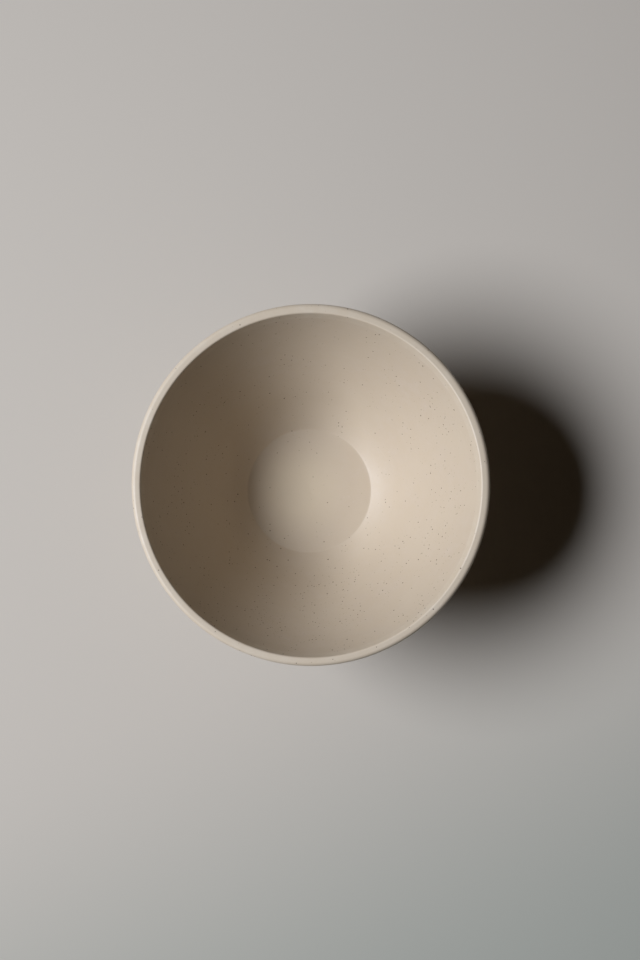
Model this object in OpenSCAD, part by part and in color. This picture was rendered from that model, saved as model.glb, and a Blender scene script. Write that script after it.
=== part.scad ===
// Latte bowl: a bowl without a handle for milky coffee, thrown in speckled stoneware.
// Each solid is turned about the Z axis from half of its section, drawn with the radius along X and the
// height along Y. The bowl stands on the XY plane with its axis on Z. Sizes are in millimetres and degrees,
// and are those of the finished, glazed bowl. The clay is drawn back by the thickness of its glaze.

/* [Bowl] */
// Diameter across the outside of the lip
rim_d = 140; // [120:1:160]
// Height from the table to the top of the lip
bowl_h = 74; // [64:1:88]

/* [Wall] */
// Width of the lip, from its inner edge to its outer edge
lip_w = 3.3; // [3:0.1:4.5]
// Rounding of the inner edge of the lip
lip_in_r = 0.8; // [0.6:0.05:1]
// Rounding of the outer edge of the lip
lip_out_r = 1.6; // [1.1:0.05:1.8]
// How much the upper part of the wall steepens, from the shoulder to the lip
wall_turn = 20; // [12:1:26]
// Radius of the round bottom of the wall, from the edge of the floor to the shoulder
bend_r = 40; // [30:1:56]
// How much the wall steepens along that round bottom
bend_turn = 24; // [12:1:32]
// Thickness of the wall at the shoulder
shoulder_t = 4.8; // [4:0.1:6]
// Thickness of the wall where it leaves the floor
wall_low_t = 5; // [4.2:0.1:6.5]

/* [Floor] */
// Diameter of the flat floor, up to the line where the wall would meet it without a rounding
floor_d = 53.4; // [46:0.2:62]
// Thickness of the floor
floor_t = 6; // [5:0.1:8]
// Rounding of the crease between the floor and the wall
corner_r = 1.2; // [0.8:0.1:4]

/* [Foot] */
// Height of the foot ring, from the table to its seat under the bowl
foot_h = 6; // [4.5:0.1:9]
// Width of the face that the bowl stands on, with its bevels
foot_w = 4.6; // [3.5:0.1:6]
// How far the foot's outside stands back from the wall above it
foot_set_back = 0.5; // [0:0.1:1.5]
// How much the recess narrows from the table up to the base
recess_draft = 1; // [0.5:0.1:2]
// Height of the upright band round the bottom of the foot
foot_band_h = 2.4; // [1.5:0.1:3]
// Angle that the hollow above that band turns through
foot_hollow_turn = 76; // [40:1:110]
// Bevel on both edges of the face that the bowl stands on
foot_bevel = 0.6; // [0.3:0.1:1]
// Depth to which the turned base drops into the foot ring, which centres the ring
spigot_h = 1; // [0.8:0.1:2]

/* [Glaze] */
// Thickness of the glaze
glaze_t = 0.35; // [0.25:0.05:0.5]
// Depth to which the lip is dipped in its own glaze
lip_dip = 4; // [2.5:0.1:8]
// Height above the table at which the outside glaze stops
glaze_line_h = 8.6; // [7.5:0.1:14]
// Radius of the roll of glaze along that line
glaze_roll_r = 0.4; // [0.3:0.05:0.5]
// Height above the table at which the glaze in the recess stops
recess_glaze_h = 2.2; // [1.5:0.1:3]
// Rounding of the glaze where it pools between the base and the foot ring
recess_cove_r = 1.6; // [1:0.1:2.5]

/* [Hidden] */
// Sides of the small roundings, of the long arcs of the wall, and of each turned solid
small_fn = 48;
arc_fn = 1080;
turn_fn = 180;
// How far a cut runs past what it cuts
over = 2;
// How far a small rounding crosses the long line that it blends into, so that the two meet at a clear point
lap = 0.002;

// Radius and centre of the arc from a to b that turns through an angle, with its centre to the left
function arc_r(a, b, turn) = norm(b - a) / (2 * sin(turn / 2));
function arc_c(a, b, turn) = (a + b) / 2 + [a.y - b.y, b.x - a.x] / (2 * tan(turn / 2));
// Direction at an angle, and direction from a to b
function aim(angle) = [cos(angle), sin(angle)];
function toward(a, b) = (b - a) / norm(b - a);
// Radius from the bowl's axis to a circle, on its outer side, at a height
function reach_at(c, r, h) = c.x + sqrt(r * r - (h - c.y) * (h - c.y));
// Radius of the arc that starts at a and runs smoothly into another arc at b, where away points out of that arc
function swept_r(a, b, away) = (b - a) * (b - a) / (2 * (b - a) * away);

floor_h = foot_h - spigot_h + floor_t;
base_h = foot_h - spigot_h;

// The inside wall is two arcs that run smoothly into each other at the shoulder. The chord of each leans away
// from the line between the edge of the floor and the lip, and the two chords meet at half the sum of the turns.
floor_edge = [floor_d / 2, floor_h];
lip_edge = [rim_d / 2 - lip_w, bowl_h];
rise = lip_edge - floor_edge;
bend_chord = 2 * bend_r * sin(bend_turn / 2);
chord_turn = (bend_turn + wall_turn) / 2;
upper_lean = asin(bend_chord * sin(chord_turn) / norm(rise));
bend_slope = atan2(rise.y, rise.x) - chord_turn + upper_lean;
shoulder = floor_edge + bend_chord * aim(bend_slope);
in_c = arc_c(shoulder, lip_edge, wall_turn);
in_r = arc_r(shoulder, lip_edge, wall_turn);
bend_c = arc_c(floor_edge, shoulder, bend_turn);

// The outside wall follows it, struck through the middle of the lip's outer rounding
lip_out_c = [rim_d / 2 - lip_out_r, bowl_h - lip_out_r];
out_shoulder = shoulder + toward(in_c, shoulder) * (shoulder_t - lip_out_r);
out_c = arc_c(out_shoulder, lip_out_c, wall_turn);
out_r = arc_r(out_shoulder, lip_out_c, wall_turn) + lip_out_r - lap;
out_low = floor_edge + toward(bend_c, floor_edge) * (wall_low_t - lip_out_r);
out_away = toward(out_c, out_shoulder);
out_swept_r = swept_r(out_low, out_shoulder, out_away);
out_bend_c = out_shoulder - out_away * out_swept_r;
out_bend_r = out_swept_r + lip_out_r;

// Centres of the rounding at the crease, and of the lip's inner rounding
corner_h = floor_h + corner_r;
corner_c = [reach_at(bend_c, bend_r + 2 * lap - corner_r, corner_h), corner_h];
lip_in_h = bowl_h - lip_in_r;
lip_in_c = [reach_at(in_c, in_r + lip_in_r - lap, lip_in_h), lip_in_h];

// Radii of the foot ring, which follows the wall that it carries
seat_r = reach_at(out_bend_c, out_bend_r - glaze_t, foot_h);
foot_r = seat_r - foot_set_back;
recess_r = foot_r - foot_w;
spigot_r = recess_r - recess_draft;

// Everything above the line that runs level to a point and then on in a direction
module above_line(from, direction) {
    far = from + direction * rim_d;
    top_h = bowl_h + over;
    polygon([[-rim_d, from.y], from, far, [far.x, top_h], [-rim_d, top_h]]);
}

// The region that the two arcs of a wall go round, with the smaller circle inside the larger one
module bowed(upper_c, upper_r, low_c, low_r) {
    intersection() {
        translate(upper_c) circle(r = upper_r, $fn = arc_fn);
        above_line(low_c, toward(upper_c, low_c));
    }
    translate(low_c) circle(r = low_r, $fn = arc_fn);
}

// Space inside the bowl, grown into the clay by an amount
module inside_section(grow) {
    intersection() {
        bowed(in_c, in_r + grow, bend_c, bend_r + lap + grow);
        above_line(corner_c, toward(bend_c, corner_c));
    }
    translate(corner_c) circle(r = corner_r + grow, $fn = small_fn);
    translate([0, floor_h - grow]) square([corner_c.x, corner_r + grow]);
}

// The rounded lip, drawn back by an amount
module lip_section(inset) {
    translate(lip_in_c) circle(r = lip_in_r - inset, $fn = small_fn);
    translate(lip_out_c) circle(r = lip_out_r - inset, $fn = small_fn);
    polygon([lip_in_c, lip_out_c, [lip_out_c.x, bowl_h - inset], [lip_in_c.x, bowl_h - inset]]);
}

// The outside of the wall, drawn back by an amount, up to the lip's rounding
module outside_section(inset) {
    inner = lip_in_c + toward(lip_in_c, in_c) * over;
    outer = lip_out_c + toward(out_c, lip_out_c) * over;
    intersection() {
        bowed(out_c, out_r - inset, out_bend_c, out_bend_r - inset);
        polygon([[0, foot_h], [outer.x, foot_h], outer, lip_out_c, lip_in_c, inner, [0, inner.y]]);
    }
}

// Wall, floor and lip, drawn back by an amount from the glazed surface
module bowl_section(inset) {
    difference() {
        outside_section(inset);
        inside_section(inset);
    }
    lip_section(inset);
}

// Everything above a height, or below it
module above(h) {
    translate([0, h]) square([rim_d, bowl_h]);
}

module below(h) {
    translate([0, h - bowl_h]) square([rim_d, bowl_h]);
}

// The ring in section: a bevelled face on the table, an upright band, a hollow up to the wall, and a draft inside
module foot_section() {
    band_top = [foot_r, foot_band_h];
    seat_edge = [seat_r, foot_h];
    hollow_c = arc_c(seat_edge, band_top, foot_hollow_turn);
    difference() {
        polygon([
            [spigot_r, foot_h], [spigot_r, base_h], [recess_r, foot_bevel], [recess_r + foot_bevel, 0],
            [foot_r - foot_bevel, 0], [foot_r, foot_bevel], band_top, hollow_c, seat_edge
        ]);
        translate(hollow_c) circle(r = arc_r(seat_edge, band_top, foot_hollow_turn) + lap, $fn = small_fn);
    }
}

// The hollow under the bowl after glazing, with its cove
module recess_section() {
    foot_side = [recess_r, foot_bevel];
    up = toward(foot_side, [spigot_r, base_h]);
    outward = [up.y, -up.x];
    cove_h = base_h - recess_cove_r;
    // Foot of the ring's side at the height of the cove's centre, and the centre a rounding and a coat in from it
    beside = foot_side + up * (cove_h - foot_side.y) / up.y;
    cove_c = [beside.x - (recess_cove_r + glaze_t - lap) / outward.x, cove_h];
    side = cove_c + outward * (recess_cove_r - lap);
    low = side - up * bowl_h;
    polygon([[0, base_h], [cove_c.x, base_h], cove_c, side, low, [0, low.y]]);
    translate(cove_c) circle(r = recess_cove_r, $fn = small_fn);
}

module turned() {
    rotate_extrude($fn = turn_fn) children();
}

// The thrown clay: floor, wall and lip, with the shallow spigot that centres the foot ring
module clay_body() {
    color("#b9a184") turned() {
        bowl_section(glaze_t);
        translate([0, base_h + glaze_t]) square([spigot_r, spigot_h - glaze_t]);
    }
}

// The foot ring, luted to the base round the spigot and left bare
module foot_ring() {
    color("#b9a184") turned() foot_section();
}

// The glaze poured inside, up to the line where the dipped lip begins
module inside_glaze() {
    color("#c6bbae") turned() intersection() {
        difference() {
            inside_section(glaze_t);
            inside_section(0);
        }
        below(bowl_h - lip_dip);
    }
}

// The glaze that the lip was dipped in
module lip_glaze() {
    color("#c9bfb2") turned() intersection() {
        difference() {
            bowl_section(0);
            bowl_section(glaze_t);
        }
        above(bowl_h - lip_dip);
    }
}

// The glaze outside, which stops above the foot in a roll
module outside_glaze() {
    line = [reach_at(out_bend_c, out_bend_r - glaze_t, glaze_line_h), glaze_line_h];
    out = toward(out_bend_c, line);
    within = line - out * over;
    beyond = line + out * over;
    dip_h = bowl_h - lip_dip;
    color("#c6bbae") turned() difference() {
        union() {
            intersection() {
                outside_section(0);
                polygon([within, beyond, [rim_d / 2, beyond.y], [rim_d / 2, dip_h], [within.x, dip_h]]);
            }
            translate(line + out * glaze_t / 2) circle(r = glaze_roll_r, $fn = small_fn);
        }
        bowed(out_c, out_r - glaze_t, out_bend_c, out_bend_r - glaze_t);
    }
}

// The glaze under the base and down the inside of the foot ring
module recess_glaze() {
    color("#c6bbae") turned() difference() {
        translate([0, recess_glaze_h]) square([recess_r + foot_w / 2, base_h + glaze_t - recess_glaze_h]);
        foot_section();
        recess_section();
    }
}

clay_body();
foot_ring();
inside_glaze();
lip_glaze();
outside_glaze();
recess_glaze();
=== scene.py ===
import math

import bmesh
import bpy
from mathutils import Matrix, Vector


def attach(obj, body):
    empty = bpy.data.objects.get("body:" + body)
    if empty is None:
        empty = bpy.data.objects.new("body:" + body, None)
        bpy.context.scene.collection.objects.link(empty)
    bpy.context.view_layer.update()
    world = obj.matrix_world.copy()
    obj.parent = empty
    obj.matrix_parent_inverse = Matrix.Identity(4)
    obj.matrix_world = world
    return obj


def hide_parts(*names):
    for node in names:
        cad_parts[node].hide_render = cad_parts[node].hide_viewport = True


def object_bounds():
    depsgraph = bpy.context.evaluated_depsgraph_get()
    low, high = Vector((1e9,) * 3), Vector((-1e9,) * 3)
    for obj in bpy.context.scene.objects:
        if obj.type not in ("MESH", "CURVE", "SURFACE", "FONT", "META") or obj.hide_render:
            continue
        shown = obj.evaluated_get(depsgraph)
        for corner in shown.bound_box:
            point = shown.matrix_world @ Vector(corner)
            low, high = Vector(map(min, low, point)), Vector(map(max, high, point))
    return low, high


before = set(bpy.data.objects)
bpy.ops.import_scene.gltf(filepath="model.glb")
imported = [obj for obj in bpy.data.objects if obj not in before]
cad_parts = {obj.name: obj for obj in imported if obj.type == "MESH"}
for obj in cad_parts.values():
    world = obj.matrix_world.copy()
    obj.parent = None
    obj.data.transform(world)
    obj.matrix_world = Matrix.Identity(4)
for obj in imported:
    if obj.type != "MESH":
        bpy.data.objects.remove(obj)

# Looks of a latte bowl thrown in speckled stoneware. Its sizes are in millimetres and are turned into metres
# where a mesh is made. Its axis is Z, and the photograph was taken from nearly above it.

cad_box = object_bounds()
MM = 0.001

# Sizes of the thrown and glazed bowl, as in the part
RIM_R = cad_box[1].x / MM
BOWL_H = cad_box[1].z / MM
LIP_W = 3.3
LIP_IN_R = 0.8
LIP_OUT_R = 1.6
WALL_TURN = math.radians(20)
BEND_R = 40
BEND_TURN = math.radians(24)
SHOULDER_T = 4.8
WALL_LOW_T = 5
FLOOR_R = 26.7
FLOOR_H = 11
BASE_H = 5
CORNER_R = 1.2
FOOT_H = 6
FOOT_W = 4.6
FOOT_SET_BACK = 0.5
FOOT_DRAFT = 1
FOOT_BAND_H = 2.4
FOOT_HOLLOW_TURN = math.radians(76)
FOOT_BEVEL = 0.6
GLAZE_T = 0.35
DIP_H = BOWL_H - 4
GLAZE_LINE_H = 8.6
GLAZE_ROLL_R = 0.4
RECESS_GLAZE_H = 2.2
RECESS_COVE_R = 1.6

# What the hands that threw it did to the round drawing. The mouth is narrower across X than across Y by a share.
OUT_OF_ROUND = 0.0105
# The lip is thicker than drawn: by how much on average, how much that varies round it and where it is thickest,
# and the heights at which that begins and is whole
LIP_EXTRA, LIP_UNEVEN, LIP_THICKEST_AT = 0.20, 0.24, math.radians(75)
LIP_SWELLS_FROM, LIP_SWOLLEN_AT = 40, 68
# Marks of throwing: how far apart the finger marks and the fine marks are, how proud these and the slow wander
# of the wall stand, and how far below the lip all three begin to fade and are gone
MARKS_APART, FINE_APART = 5.3, 2.3
MARKS_PROUD, FINE_PROUD, WANDER_PROUD = 0.016, 0.004, 0.03
MARKS_FADE, MARKS_GONE = 8, 2.5
# Waves of the line where the outside glaze stops: height, number round the bowl and where the first one starts.
# Then how far up the wall the coat follows that line.
LINE_WAVES = ((0.34, 2, 0.4), (0.2, 5, 1.1), (0.1, 11, 2.0))
LINE_FOLLOWED = 9
# The roll at that line: how far above it the coat begins to swell, and how far above it the fine points begin
ROLL_FROM, ROLL_POINTS_FROM = 2.6, 3.4
ROLL_STEPS, ROLL_END_STEPS = 13, 8
# The rounded lower edge of the glaze in the recess
RECESS_EDGE_RISE, RECESS_EDGE_R, RECESS_EDGE_STEPS = 0.15, 0.2, 5
# How far towards the window the paler patch on the floor is moved: pooled glaze, lightened further by painted light
LIT_POOL_ASIDE = 6

# How finely a mesh is cut round the bowl, from what angle an edge looks crisp, and how near counts as one place
ROUND_STEPS = 288
CREASE = math.radians(32)
SAME_PLACE = 1e-4

# The camera: place in millimetres, tilts up and across the picture, and the lens
CAMERA_AT = (-7.20, -25.45, 586.9)
CAMERA_UP = math.radians(2.993)
CAMERA_ACROSS = math.radians(-1.172)
LENS = 50

# The window on the left that lights the bowl, an ellipse. In metres: where it stands, how low and high it
# reaches, and from where to where it reaches up the picture. Then its glow, and the strength of the room's light.
PANE_X = -0.84
PANE_LOW, PANE_HIGH = 0.620, 1.395
PANE_NEAR, PANE_FAR = -0.43, 0.40
PANE_GLOW = 21.3
ROOM_FILL = 0.012

# The table: its radius in metres, and in millimetres where painted shade darkens it towards the bottom right of the
# picture, where it is itself again further out, and where it fades into the backdrop
TABLE_R, TABLE_STEPS = 4, 96
FALL_FROM, FALL_TO = 60, 260
FALL_BACK_FROM, FALL_BACK_TO = 250, 480
BACKDROP_FROM, BACKDROP_TO = 290, 900

# Colours, as linear red, green and blue
DAYLIGHT = (0.945, 1.0, 1.12)
LAMPLIGHT = (1.0, 0.72, 0.45, 1)
OATMEAL = (0.490, 0.406, 0.310, 1)
# The glaze on the floor: paler where it pools, and lightened further by painted light
OATMEAL_POOLED_AND_LIT = (0.570, 0.472, 0.338, 1)
OATMEAL_WARM = (0.440, 0.342, 0.226, 1)
LIP_CREAM = (0.532, 0.456, 0.356, 1)
IRON = (0.036, 0.020, 0.012, 1)
RUST = (0.300, 0.205, 0.125, 1)
CHALK = (0.640, 0.590, 0.520, 1)
BUFF_CLAY = (0.455, 0.352, 0.248, 1)
TOASTED_CLAY = (0.345, 0.205, 0.112, 1)
TABLE = (0.516, 0.466, 0.398, 1)
# The table's colour under painted shade, towards the bottom right of the picture
TABLE_PAINTED_SHADE = (0.360, 0.362, 0.312, 1)
BACKDROP = (0.480, 0.455, 0.430, 1)

# The colour sockets of a Mix node, whose names its number sockets have too
MIX_FIRST, MIX_SECOND, MIX_RESULT = 6, 7, 2


# ---------------------------------------------------------------- the section of the bowl
def on(centre, radius, angle):
    """The point of a circle at an angle."""
    return centre[0] + radius * math.cos(angle), centre[1] + radius * math.sin(angle)


def way(a, b):
    """Direction from a to b, as an angle."""
    return math.atan2(b[1] - a[1], b[0] - a[0])


def struck(a, b, turn):
    """Centre and radius of the arc from a to b that turns through an angle, with its centre to the left."""
    dx, dy = b[0] - a[0], b[1] - a[1]
    off = 2 * math.tan(turn / 2)
    centre = ((a[0] + b[0]) / 2 - dy / off, (a[1] + b[1]) / 2 + dx / off)
    return centre, math.hypot(dx, dy) / (2 * math.sin(turn / 2))


def swept(start, end, outward):
    """Centre and radius of the arc from start that runs into another at end, where outward is the way out of it."""
    dx, dy = end[0] - start[0], end[1] - start[1]
    radius = (dx * dx + dy * dy) / 2 / (dx * math.cos(outward) + dy * math.sin(outward))
    return on(end, -radius, outward), radius


def reach_at(centre, radius, height):
    """Distance from the bowl's axis to the outer side of a circle, at a height."""
    return centre[0] + math.sqrt(radius ** 2 - (height - centre[1]) ** 2)


def level(centre, radius, height):
    """The angle at which the outer side of a circle passes a height."""
    return math.asin((height - centre[1]) / radius)


FLOOR_EDGE = (FLOOR_R, FLOOR_H)
LIP_EDGE = (RIM_R - LIP_W, BOWL_H)
BEND_CHORD = 2 * BEND_R * math.sin(BEND_TURN / 2)
CHORD_TURN = (BEND_TURN + WALL_TURN) / 2
UPPER_LEAN = math.asin(BEND_CHORD * math.sin(CHORD_TURN) / math.dist(FLOOR_EDGE, LIP_EDGE))
SHOULDER = on(FLOOR_EDGE, BEND_CHORD, way(FLOOR_EDGE, LIP_EDGE) - CHORD_TURN + UPPER_LEAN)
IN_C, IN_R = struck(SHOULDER, LIP_EDGE, WALL_TURN)
SHOULDER_AT = way(IN_C, SHOULDER)
BEND_C = struck(FLOOR_EDGE, SHOULDER, BEND_TURN)[0]
LIP_OUT_C = (RIM_R - LIP_OUT_R, BOWL_H - LIP_OUT_R)
OUT_SHOULDER_C = on(SHOULDER, SHOULDER_T - LIP_OUT_R, SHOULDER_AT)
OUT_C, OUT_R = struck(OUT_SHOULDER_C, LIP_OUT_C, WALL_TURN)
OUT_SHOULDER_AT = way(OUT_C, OUT_SHOULDER_C)
LOW_C = on(FLOOR_EDGE, WALL_LOW_T - LIP_OUT_R, way(BEND_C, FLOOR_EDGE))
OUT_BEND_C, OUT_BEND_R = swept(LOW_C, OUT_SHOULDER_C, OUT_SHOULDER_AT)
OUT_R += LIP_OUT_R
OUT_BEND_R += LIP_OUT_R
CORNER_C = (reach_at(BEND_C, BEND_R - CORNER_R, FLOOR_H + CORNER_R), FLOOR_H + CORNER_R)
LIP_IN_C = (reach_at(IN_C, IN_R + LIP_IN_R, BOWL_H - LIP_IN_R), BOWL_H - LIP_IN_R)
SEAT_R = reach_at(OUT_BEND_C, OUT_BEND_R - GLAZE_T, FOOT_H)
FOOT_R = SEAT_R - FOOT_SET_BACK
RECESS_R = FOOT_R - FOOT_W
SPIGOT_R = RECESS_R - FOOT_DRAFT
CORNER_AT = way(BEND_C, CORNER_C)
LIP_IN_AT = way(IN_C, LIP_IN_C)
LIP_OUT_AT = way(OUT_C, LIP_OUT_C)
DOWN, UP = -math.pi / 2, math.pi / 2


# ---------------------------------------------------------------- what the hands did to it
def smooth(low, high, x):
    """0 below low and 1 above high, smoothly."""
    t = min(1.0, max(0.0, (x - low) / (high - low)))
    return t * t * (3 - 2 * t)


def thrown(r, z, turn):
    """How far the fingers left the surface proud at a place: shallow spiral marks and a slow wander."""
    climb = z * 0.8 + r * 0.6
    marks = math.sin(2 * math.pi * climb / MARKS_APART + turn) * (0.6 + 0.4 * math.sin(3 * turn + 0.21 * climb))
    fine = math.sin(2 * math.pi * climb / FINE_APART + 2 * turn + 0.8 * math.sin(0.3 * climb))
    slow = math.sin(2 * turn + 0.06 * climb) + 0.6 * math.sin(3 * turn - 0.05 * climb + 1.3)
    fade = 1 - smooth(BOWL_H - MARKS_FADE, BOWL_H - MARKS_GONE, z)
    return (MARKS_PROUD * marks + FINE_PROUD * fine + WANDER_PROUD * slow) * fade


def drawn_in(z, turn):
    """The share of its radius that the bowl keeps: its mouth dried a little out of round."""
    return 1 - OUT_OF_ROUND * smooth(FLOOR_H, BOWL_H, z) * math.cos(turn) ** 2


def thickened(r, z, turn):
    """How far the inside of the wall came out nearer the axis, where the lip is thicker than drawn."""
    depth = smooth(0, LIP_W, OUT_R - math.dist((r, z), OUT_C))
    extra = LIP_EXTRA + LIP_UNEVEN * math.cos(turn - LIP_THICKEST_AT)
    return extra * depth * smooth(LIP_SWELLS_FROM, LIP_SWOLLEN_AT, z)


def line_wander(turn):
    """How far the edge of the outside glaze strays along the wall."""
    return sum(height * math.sin(count * turn + start) for height, count, start in LINE_WAVES)


# ---------------------------------------------------------------- turning a section into a piece
class Section:
    """Half of a piece's section: its points in order. Each has the way that the surface faces there, and how far
    it follows the marks of throwing and the wandering line of the glaze."""

    def __init__(self):
        self.points = []

    def dot(self, r, z, out=(0, 0), marks=0.0):
        self.points.append((r, z, out, marks, 0.0))

    def arc(self, centre, radius, start, end, step, side=1, marks=0.0):
        """Points along an arc. side is 1 where the piece's surface faces away from the centre, and -1 towards it."""
        steps = max(1, math.ceil(abs(end - start) * radius / step))
        for i in range(steps + 1):
            a = start + (end - start) * i / steps
            self.dot(*on(centre, radius, a), (side * math.cos(a), side * math.sin(a)), marks)

    def line(self, a, b, step, out=(0, 0), marks=0.0):
        steps = max(1, math.ceil(math.dist(a, b) / step))
        for i in range(steps + 1):
            t = i / steps
            self.dot(a[0] + (b[0] - a[0]) * t, a[1] + (b[1] - a[1]) * t, out, marks)

    def follow_line(self, start, reach):
        """Lets the low part of the outside coat follow the wandering line, fading out up the wall."""
        for i, (r, z, out, marks, _) in enumerate(self.points):
            up = (way(OUT_BEND_C, (r, z)) - start) / reach
            self.points[i] = (r, z, out, marks, 1 - smooth(0.02, 1, up))


def turned(name, section, finish, along=(0, 0)):
    """A solid turned from its section, as a mesh that rides on the bowl and stands for the node of its name.
    along is the way in which its edge wanders."""
    kept = [section.points[0]]
    for point in section.points[1:]:
        if math.dist(point[:2], kept[-1][:2]) > SAME_PLACE:
            kept.append(point)
    if math.dist(kept[0][:2], kept[-1][:2]) < SAME_PLACE:
        kept.pop()
    rows, faces, corners = [], [], []
    for r, z, out, marks, wander in kept:
        steps = 1 if r < SAME_PLACE else ROUND_STEPS
        rows.append((len(corners), steps))
        for k in range(steps):
            turn = 2 * math.pi * k / ROUND_STEPS
            push = thrown(r, z, turn) * marks
            stray = line_wander(turn) * wander
            rr = r + out[0] * push + along[0] * stray
            zz = z + out[1] * push + along[1] * stray
            rr = (rr - thickened(r, z, turn)) * drawn_in(z, turn)
            corners.append((rr * math.cos(turn) * MM, rr * math.sin(turn) * MM, zz * MM))
    pairs = list(zip(rows, rows[1:]))
    if rows[0][1] > 1 or rows[-1][1] > 1:
        pairs.append((rows[-1], rows[0]))
    for (a, a_steps), (b, b_steps) in pairs:
        for k in range(ROUND_STEPS):
            n = (k + 1) % ROUND_STEPS
            if a_steps == 1:
                faces.append((a, b + n, b + k))
            elif b_steps == 1:
                faces.append((a + k, a + n, b))
            else:
                faces.append((a + k, a + n, b + n, b + k))
    mesh = bpy.data.meshes.new(name)
    mesh.from_pydata(corners, [], faces)
    shade(mesh)
    mesh.materials.append(finish)
    piece = placed("bowl_" + name, mesh)
    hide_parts(name)
    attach(piece, "root")


def shade(mesh):
    """Smooth shading, with the edges of a piece kept crisp, and every face turned outward."""
    work = bmesh.new()
    work.from_mesh(mesh)
    bmesh.ops.recalc_face_normals(work, faces=work.faces)
    for face in work.faces:
        face.smooth = True
    for edge in work.edges:
        edge.smooth = edge.calc_face_angle(0) < CREASE
    work.to_mesh(mesh)
    work.free()


def placed(name, data):
    """A new object with its mesh, lamp or lens, in the scene."""
    made = bpy.data.objects.new(name, data)
    bpy.context.scene.collection.objects.link(made)
    return made


# ---------------------------------------------------------------- shader arithmetic
class Signal:
    """A value in a material, with arithmetic. node() adds any other kind of node."""

    def __init__(self, tree, socket=None):
        self.tree, self.socket = tree, socket

    def node(self, kind, settings=None, inputs=None, out=0):
        """A new node's output, after its settings and then the values and links of its sockets are set."""
        made = self.tree.nodes.new(kind)
        for name, value in (settings or {}).items():
            setattr(made, name, value)
        for name, value in (inputs or {}).items():
            if isinstance(value, Signal):
                self.tree.links.new(value.socket, made.inputs[name])
            else:
                made.inputs[name].default_value = value
        return Signal(self.tree, made.outputs[out])

    def other(self, name):
        """Another output of the same node."""
        return Signal(self.tree, self.socket.node.outputs[name])

    def into(self, node, name):
        """Links this value to a socket of a node."""
        self.tree.links.new(self.socket, node.inputs[name])

    def math(self, operation, *terms):
        return self.node("ShaderNodeMath", {"operation": operation}, dict(enumerate(terms)))

    def __add__(self, other):
        return self.math("ADD", self, other)

    def __radd__(self, other):
        return self.math("ADD", other, self)

    def __sub__(self, other):
        return self.math("SUBTRACT", self, other)

    def __rsub__(self, other):
        return self.math("SUBTRACT", other, self)

    def __mul__(self, other):
        return self.math("MULTIPLY", self, other)

    def __rmul__(self, other):
        return self.math("MULTIPLY", other, self)

    def __truediv__(self, other):
        return self.math("DIVIDE", self, other)

    def __rtruediv__(self, other):
        return self.math("DIVIDE", other, self)

    def __pow__(self, other):
        return self.math("POWER", self, other)

    def __rpow__(self, other):
        return self.math("POWER", other, self)

    def clamped(self):
        """This value, kept between 0 and 1."""
        return self.math("MINIMUM", self.math("MAXIMUM", self, 0.0), 1.0)

    def step(self, low, high):
        """0 below low and 1 above high, smoothly."""
        return self.node("ShaderNodeMapRange", {"interpolation_type": "SMOOTHSTEP"},
                         {"Value": self, "From Min": low, "From Max": high})

    def blend(self, first, second):
        """From the first colour to the second, by this value."""
        return self.node("ShaderNodeMix", {"data_type": "RGBA"},
                         {"Factor": self, MIX_FIRST: first, MIX_SECOND: second}, out=MIX_RESULT)

    def mixed(self, first, second):
        """From the first shader to the second, by this value."""
        return self.node("ShaderNodeMixShader", {}, {0: self, 1: first, 2: second})

    def noise(self, size, detail=2.0, roughness=0.5):
        """Smooth noise from 0 to 1, with lumps of a size in millimetres."""
        return self.node("ShaderNodeTexNoise", {}, {"Vector": self, "Scale": 1 / (size * MM),
                                                    "Detail": detail, "Roughness": roughness})

    def specks(self, cell, size, share, soft=0.25):
        """Round specks at random, and a depth for each one: a share of the cells hold one. Lengths in millimetres."""
        cells = self.node("ShaderNodeTexVoronoi", {}, {"Vector": self, "Scale": 1 / (cell * MM)}, out="Distance")
        lots = self.node("ShaderNodeSeparateColor", {}, {"Color": cells.other("Color")})
        radius = (lots.other("Green") * 0.7 + 0.45) * (size / cell / 2)
        spot = ((radius - cells) / (radius * soft)).clamped()
        return spot * self.math("LESS_THAN", lots, share), lots.other("Blue")


def place_in(tree):
    """The point being shaded, in the bowl's own frame, and its X, Y and Z in millimetres."""
    point = Signal(tree).node("ShaderNodeTexCoord", out="Object")
    x = point.node("ShaderNodeSeparateXYZ", {}, {0: point})
    return point, x / MM, x.other("Y") / MM, x.other("Z") / MM


def away(x, y):
    """How far x along X and y along Y reach together."""
    return (x * x + y * y) ** 0.5


def seen(start):
    """1 for what the camera sees, also through a reflection or glass, and 0 for the light on the bowl."""
    ray = start.node("ShaderNodeLightPath")
    mirrored = ray.math("MAXIMUM", ray, ray.other("Is Glossy Ray"))
    return ray.math("MAXIMUM", mirrored, ray.other("Is Transmission Ray"))


def finished(name):
    """An empty material with its tree and its shader."""
    made = bpy.data.materials.new(name)
    made.use_nodes = True
    return made, made.node_tree, made.node_tree.nodes["Principled BSDF"]


def bumped(shader, height, depth):
    """The height, from 0 to 1, raises the surface by up to that depth in millimetres."""
    bump = height.node("ShaderNodeBump", {}, {"Height": height, "Distance": depth * MM, "Strength": 1.0})
    bump.into(shader, "Normal")


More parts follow.
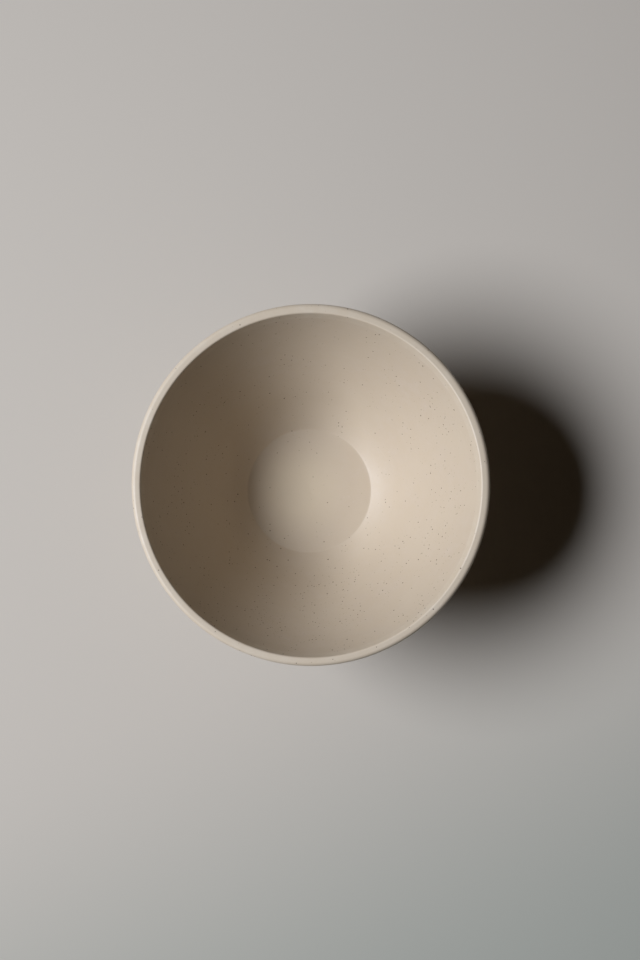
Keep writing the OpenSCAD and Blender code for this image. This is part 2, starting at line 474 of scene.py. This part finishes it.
def speckled_glaze(name, base, speck_share):
    """Satin oatmeal glaze over speckled clay: iron pin specks that show through it, among finer and softer ones."""
    made, tree, shader = finished(name)
    point, x, y, _ = place_in(tree)
    cloud = point.noise(26, detail=3) - 0.5
    mottle = point.noise(5.5, detail=4, roughness=0.6) - 0.5
    grain = point.noise(0.9) - 0.5
    # Where the specks crowd: in loose drifts, more on the wall than on the floor, and more to one side
    gather = point.noise(15, roughness=0.55).step(0.38, 0.66)
    on_wall = away(x, y).step(24, 46) * 0.75 + 0.25
    crowd = (gather * 0.85 + 0.15) * on_wall * (1 - y * 0.006)
    pins, pin_depth = point.specks(cell=1.55, size=0.54, share=crowd * (0.64 * speck_share), soft=0.15)
    dust, dust_depth = point.specks(cell=0.9, size=0.30, share=crowd * (0.34 * speck_share))
    blots, blot_depth = point.specks(cell=3.3, size=1.3, share=gather * (0.24 * speck_share), soft=0.95)
    pale = point.specks(cell=2.1, size=0.9, share=0.16, soft=0.9)[0]
    # Painted light on the floor: a paler patch of pooled glaze, lightened further and moved towards the window
    pool_and_painted_light = (1 - away(x + LIT_POOL_ASIDE, y).step(FLOOR_R * 0.2, FLOOR_R)) * (0.9 - cloud * 0.6)
    # The glaze's own clouds and grain, its pool lightened by painted light, and then the specks from the faintest to
    # the darkest
    colour = (cloud * 0.8 + mottle * 1.1 + 0.42).clamped().blend(base, OATMEAL_WARM)
    colour = (cloud * 0.9 + mottle * 0.5 + 0.18).clamped().blend(colour, LIP_CREAM)
    colour = (grain * 0.35).clamped().blend(colour, OATMEAL_WARM)
    colour = pool_and_painted_light.blend(colour, OATMEAL_POOLED_AND_LIT)
    colour = (pale * 0.14).blend(colour, CHALK)
    colour = (blots * (blot_depth * 0.22 + 0.05)).blend(colour, RUST)
    colour = (dust * 0.9).blend(colour, dust_depth.blend(RUST, IRON))
    colour = (pins * (pin_depth * 0.3 + 0.7)).blend(colour, IRON)
    colour.into(shader, "Base Color")
    (0.52 + mottle * 0.12 + cloud * 0.08 + pins * 0.1).into(shader, "Roughness")
    skin = point.noise(1.6) * 0.6 + point.noise(0.55, detail=1) * 0.2 - pins * 0.5
    bumped(shader, skin, 0.010)
    return made


def bare_clay():
    """Unglazed stoneware: buff, sandy and dry, toasted beside the glaze, with its iron specks open."""
    made, tree, shader = finished("bare_stoneware")
    point, _, _, z = place_in(tree)
    cloud = point.noise(18, detail=3) - 0.5
    sand = point.noise(0.5, detail=3, roughness=0.7) - 0.5
    grit = point.noise(0.22) - 0.5
    gather = point.noise(12).step(0.35, 0.6)
    pins, pin_depth = point.specks(cell=1.15, size=0.5, share=gather * 0.26 + 0.05)
    dust, dust_depth = point.specks(cell=0.7, size=0.24, share=0.22)
    toast = (z - point.noise(7) * 2.4).step(2.2, 5.6)
    colour = (toast * 0.8).blend(BUFF_CLAY, TOASTED_CLAY)
    colour = (cloud * 1.2 + 0.3).clamped().blend(colour, OATMEAL)
    colour = (sand * 1.4).clamped().blend(colour, TOASTED_CLAY)
    colour = (0 - sand).clamped().blend(colour, CHALK)
    colour = (dust * (dust_depth * 0.5 + 0.2)).blend(colour, RUST)
    colour = (pins * (pin_depth * 0.5 + 0.5)).blend(colour, IRON)
    colour.into(shader, "Base Color")
    (0.82 + sand * 0.25).into(shader, "Roughness")
    bumped(shader, sand * 0.7 + grit * 0.3 - pins * 0.3, 0.05)
    return made


# ---------------------------------------------------------------- the pieces
def inside_glaze(finish):
    """The glaze poured inside: the floor, its corner and the wall up to the dipped lip."""
    under_r, under_h = IN_R + GLAZE_T, FLOOR_H - GLAZE_T
    s = Section()
    s.line((0, FLOOR_H), (CORNER_C[0], FLOOR_H), step=0.9, out=(0, 1), marks=1)
    s.arc(CORNER_C, CORNER_R, DOWN, CORNER_AT, step=0.3, side=-1, marks=1)
    s.arc(BEND_C, BEND_R, CORNER_AT, SHOULDER_AT, step=0.75, side=-1, marks=1)
    s.arc(IN_C, IN_R, SHOULDER_AT, level(IN_C, IN_R, DIP_H), step=0.75, side=-1, marks=1)
    s.arc(IN_C, under_r, level(IN_C, under_r, DIP_H), SHOULDER_AT, step=2.5)
    s.arc(BEND_C, BEND_R + GLAZE_T, SHOULDER_AT, CORNER_AT, step=2)
    s.arc(CORNER_C, CORNER_R + GLAZE_T, CORNER_AT, DOWN, step=0.6)
    s.line((CORNER_C[0], under_h), (0, under_h), step=6)
    turned("inside_glaze", s, finish)


def lip_glaze(finish):
    """The glaze that the lip was dipped in, over both of its roundings."""
    in_r, out_r = IN_R + GLAZE_T, OUT_R - GLAZE_T
    s = Section()
    s.arc(IN_C, IN_R, level(IN_C, IN_R, DIP_H), LIP_IN_AT, step=0.5, side=-1, marks=1)
    s.arc(LIP_IN_C, LIP_IN_R, LIP_IN_AT + math.pi, UP, step=0.1)
    s.arc(LIP_OUT_C, LIP_OUT_R, UP, LIP_OUT_AT, step=0.14)
    s.arc(OUT_C, OUT_R, LIP_OUT_AT, level(OUT_C, OUT_R, DIP_H), step=0.5, marks=1)
    s.arc(OUT_C, out_r, level(OUT_C, out_r, DIP_H), LIP_OUT_AT, step=0.8)
    s.arc(LIP_OUT_C, LIP_OUT_R - GLAZE_T, LIP_OUT_AT, UP, step=0.3)
    s.arc(LIP_IN_C, LIP_IN_R - GLAZE_T, UP, LIP_IN_AT + math.pi, step=0.2)
    s.arc(IN_C, in_r, LIP_IN_AT, level(IN_C, in_r, DIP_H), step=0.8)
    turned("lip_glaze", s, finish)


def outside_glaze(finish):
    """The glaze outside, which stops above the foot in a roll along a line that wanders."""
    bend_r, wall_r = OUT_BEND_R - GLAZE_T, OUT_R - GLAZE_T
    start = level(OUT_BEND_C, bend_r, GLAZE_LINE_H) - GLAZE_ROLL_R / OUT_BEND_R
    proud = GLAZE_ROLL_R - GLAZE_T / 2
    s = Section()
    # Up the clay behind the coat, then back down its face to the roll
    s.arc(OUT_BEND_C, bend_r, start, OUT_SHOULDER_AT, step=1)
    s.arc(OUT_C, wall_r, OUT_SHOULDER_AT, level(OUT_C, wall_r, DIP_H), step=2.5)
    s.arc(OUT_C, OUT_R, level(OUT_C, OUT_R, DIP_H), OUT_SHOULDER_AT, step=0.75, marks=1)
    s.arc(OUT_BEND_C, OUT_BEND_R, OUT_SHOULDER_AT, start + ROLL_POINTS_FROM / OUT_BEND_R, step=0.75, marks=1)
    for i in range(1, ROLL_STEPS + 1):
        above = ROLL_POINTS_FROM - (ROLL_POINTS_FROM - GLAZE_ROLL_R) * i / ROLL_STEPS
        a = start + above / OUT_BEND_R
        swell = proud * (1 - smooth(GLAZE_ROLL_R, ROLL_FROM, above))
        s.dot(*on(OUT_BEND_C, OUT_BEND_R + swell, a), (math.cos(a), math.sin(a)), 1)
    for i in range(1, ROLL_END_STEPS + 1):
        u = math.pi / 2 * i / ROLL_END_STEPS
        a = start + GLAZE_ROLL_R * (1 - math.sin(u)) / OUT_BEND_R
        s.dot(*on(OUT_BEND_C, bend_r + (GLAZE_T + proud) * math.cos(u), a))
    s.follow_line(start, LINE_FOLLOWED / OUT_BEND_R)
    turned("outside_glaze", s, finish, on((0, 0), 1, start + math.pi / 2))


def clay_body(finish):
    """The thrown clay under its glazes, bare between the outside glaze and the foot."""
    base_h, under_h = BASE_H + GLAZE_T, FLOOR_H - GLAZE_T
    bend_r, wall_r = OUT_BEND_R - GLAZE_T, OUT_R - GLAZE_T
    s = Section()
    s.line((0, base_h), (SPIGOT_R, base_h), step=6)
    s.line((SPIGOT_R, base_h), (SPIGOT_R, FOOT_H), step=0.5)
    s.line((SPIGOT_R, FOOT_H), (SEAT_R, FOOT_H), step=1.5)
    s.arc(OUT_BEND_C, bend_r, level(OUT_BEND_C, bend_r, FOOT_H), OUT_SHOULDER_AT, step=1)
    s.arc(OUT_C, wall_r, OUT_SHOULDER_AT, LIP_OUT_AT, step=1.5)
    s.arc(LIP_OUT_C, LIP_OUT_R - GLAZE_T, LIP_OUT_AT, UP, step=0.3)
    s.arc(LIP_IN_C, LIP_IN_R - GLAZE_T, UP, LIP_IN_AT + math.pi, step=0.2)
    s.arc(IN_C, IN_R + GLAZE_T, LIP_IN_AT, SHOULDER_AT, step=2.5)
    s.arc(BEND_C, BEND_R + GLAZE_T, SHOULDER_AT, CORNER_AT, step=2)
    s.arc(CORNER_C, CORNER_R + GLAZE_T, CORNER_AT, DOWN, step=0.6)
    s.line((CORNER_C[0], under_h), (0, under_h), step=6)
    turned("clay_body", s, finish)


def foot_ring(finish):
    """The foot ring: a bevelled face on the table, an upright band, a turned hollow and the draft inside."""
    band_top, seat_edge = (FOOT_R, FOOT_BAND_H), (SEAT_R, FOOT_H)
    hollow_c, hollow_r = struck(seat_edge, band_top, FOOT_HOLLOW_TURN)
    low, high = way(hollow_c, band_top), way(hollow_c, seat_edge)
    if low < high - math.pi:
        low += 2 * math.pi
    if high < low - math.pi:
        high += 2 * math.pi
    s = Section()
    s.line((SPIGOT_R, FOOT_H), (SPIGOT_R, BASE_H), step=0.5)
    s.line((SPIGOT_R, BASE_H), (RECESS_R, FOOT_BEVEL), step=0.5, out=(-1, 0), marks=0.4)
    s.line((RECESS_R, FOOT_BEVEL), (RECESS_R + FOOT_BEVEL, 0), step=0.2)
    s.line((RECESS_R + FOOT_BEVEL, 0), (FOOT_R - FOOT_BEVEL, 0), step=0.7)
    s.line((FOOT_R - FOOT_BEVEL, 0), (FOOT_R, FOOT_BEVEL), step=0.2)
    s.line((FOOT_R, FOOT_BEVEL), band_top, step=0.3, out=(1, 0), marks=0.5)
    s.arc(hollow_c, hollow_r, low, high, step=0.25, side=-1, marks=0.5)
    s.line(seat_edge, (SPIGOT_R, FOOT_H), step=1.5)
    turned("foot_ring", s, finish)


def recess_glaze(finish):
    """The glaze under the base and down the inside of the foot ring, pooled into a cove between them."""
    low, high = (RECESS_R, FOOT_BEVEL), (SPIGOT_R, BASE_H)
    up = on((0, 0), 1, way(low, high))
    outward = (up[1], -up[0])

    def shifted(point, sideways, upward):
        return (point[0] + outward[0] * sideways + up[0] * upward,
                point[1] + outward[1] * sideways + up[1] * upward)

    cove_h = BASE_H - RECESS_COVE_R
    beside = shifted(low, 0, (cove_h - low[1]) / up[1])
    cove_c = (beside[0] - (RECESS_COVE_R + GLAZE_T) / outward[0], cove_h)
    side = shifted(cove_c, RECESS_COVE_R, 0)
    end = shifted(side, 0, (RECESS_GLAZE_H + RECESS_EDGE_RISE - side[1]) / up[1])
    s = Section()
    s.line((0, BASE_H), (cove_c[0], BASE_H), step=1.2, out=(0, -1), marks=0.6)
    s.arc(cove_c, RECESS_COVE_R, UP, way((0, 0), outward), step=0.2)
    s.line(side, end, step=0.4)
    for i in range(1, RECESS_EDGE_STEPS + 1):
        a = math.pi / 2 * i / RECESS_EDGE_STEPS
        s.dot(*shifted(end, GLAZE_T * (1 - math.cos(a)), -RECESS_EDGE_R * math.sin(a)))
    s.line(shifted(end, GLAZE_T, 0), high, step=0.6)
    s.line(high, (SPIGOT_R, BASE_H + GLAZE_T), step=0.3)
    s.line((SPIGOT_R, BASE_H + GLAZE_T), (0, BASE_H + GLAZE_T), step=6)
    turned("recess_glaze", s, finish)


# ---------------------------------------------------------------- table, light and camera
def table_top():
    """The pale table, darkened by painted shade towards the bottom right of the picture, which fades into the
    backdrop far from the bowl.
    """
    mesh = bpy.data.meshes.new("table_top")
    rim = [on((0, 0), TABLE_R, 2 * math.pi * k / TABLE_STEPS) + (0,) for k in range(TABLE_STEPS)]
    mesh.from_pydata(rim, [], [tuple(range(TABLE_STEPS))])
    made, tree, shader = finished("pale_table")
    point, x, y, _ = place_in(tree)
    from_axis = away(x, y)
    # Painted shade: the table is darker towards the bottom right of the picture, where the light falls off
    painted_shade = (x * 0.35 - y).step(FALL_FROM, FALL_TO) * (1 - from_axis.step(FALL_BACK_FROM, FALL_BACK_TO))
    painted_shade.blend(TABLE, TABLE_PAINTED_SHADE).into(shader, "Base Color")
    shader.inputs["Roughness"].default_value = 0.9
    shader.inputs["Specular IOR Level"].default_value = 0.15
    far = point.node("ShaderNodeEmission", {}, {"Color": BACKDROP, "Strength": 1.0})
    fade = from_axis.step(BACKDROP_FROM, BACKDROP_TO) * seen(point)
    fade.mixed(Signal(tree, shader.outputs["BSDF"]), far).into(tree.nodes["Material Output"], "Surface")
    mesh.materials.append(made)
    table = placed("table_top", mesh)


def room():
    """A dim warm room, with a pale backdrop for whatever looks past the table."""
    world = bpy.data.worlds.new("room")
    bpy.context.scene.world = world
    world.use_nodes = True
    tree = world.node_tree
    start = Signal(tree)
    fill = start.node("ShaderNodeBackground", {}, {"Color": LAMPLIGHT, "Strength": ROOM_FILL})
    back = start.node("ShaderNodeBackground", {}, {"Color": BACKDROP, "Strength": 1.0})
    seen(start).mixed(fill, back).into(tree.nodes["World Output"], "Surface")


def window_light():
    """Soft light from a window high on the left."""
    pane = bpy.data.lights.new("window", "AREA")
    pane.shape = "ELLIPSE"
    pane.size = PANE_FAR - PANE_NEAR
    pane.size_y = PANE_HIGH - PANE_LOW
    # The glow times pi times the ellipse's area
    pane.energy = math.pi * (math.pi / 4 * pane.size * pane.size_y) * PANE_GLOW
    pane.color = DAYLIGHT
    lamp = placed("window", pane)
    lamp.location = (PANE_X, (PANE_FAR + PANE_NEAR) / 2, (PANE_HIGH + PANE_LOW) / 2)
    lamp.rotation_euler = (math.pi / 2, 0, -math.pi / 2)
    lamp.visible_camera = False


def camera():
    """The camera of the photograph."""
    lens = bpy.data.cameras.new("camera")
    lens.lens = LENS
    lens.clip_start = 0.01
    eye = placed("camera", lens)
    eye.location = [MM * c for c in CAMERA_AT]
    eye.rotation_euler = (CAMERA_UP, CAMERA_ACROSS, 0)
    bpy.context.scene.camera = eye


camera()
window_light()
room()
table_top()

glaze = speckled_glaze("speckled_satin_glaze", OATMEAL, 1.0)
lip = speckled_glaze("lip_satin_glaze", LIP_CREAM, 0.6)
clay = bare_clay()
clay_body(clay)
foot_ring(clay)
inside_glaze(glaze)
lip_glaze(lip)
outside_glaze(glaze)
recess_glaze(glaze)

bpy.context.scene.view_settings.view_transform = "Standard"
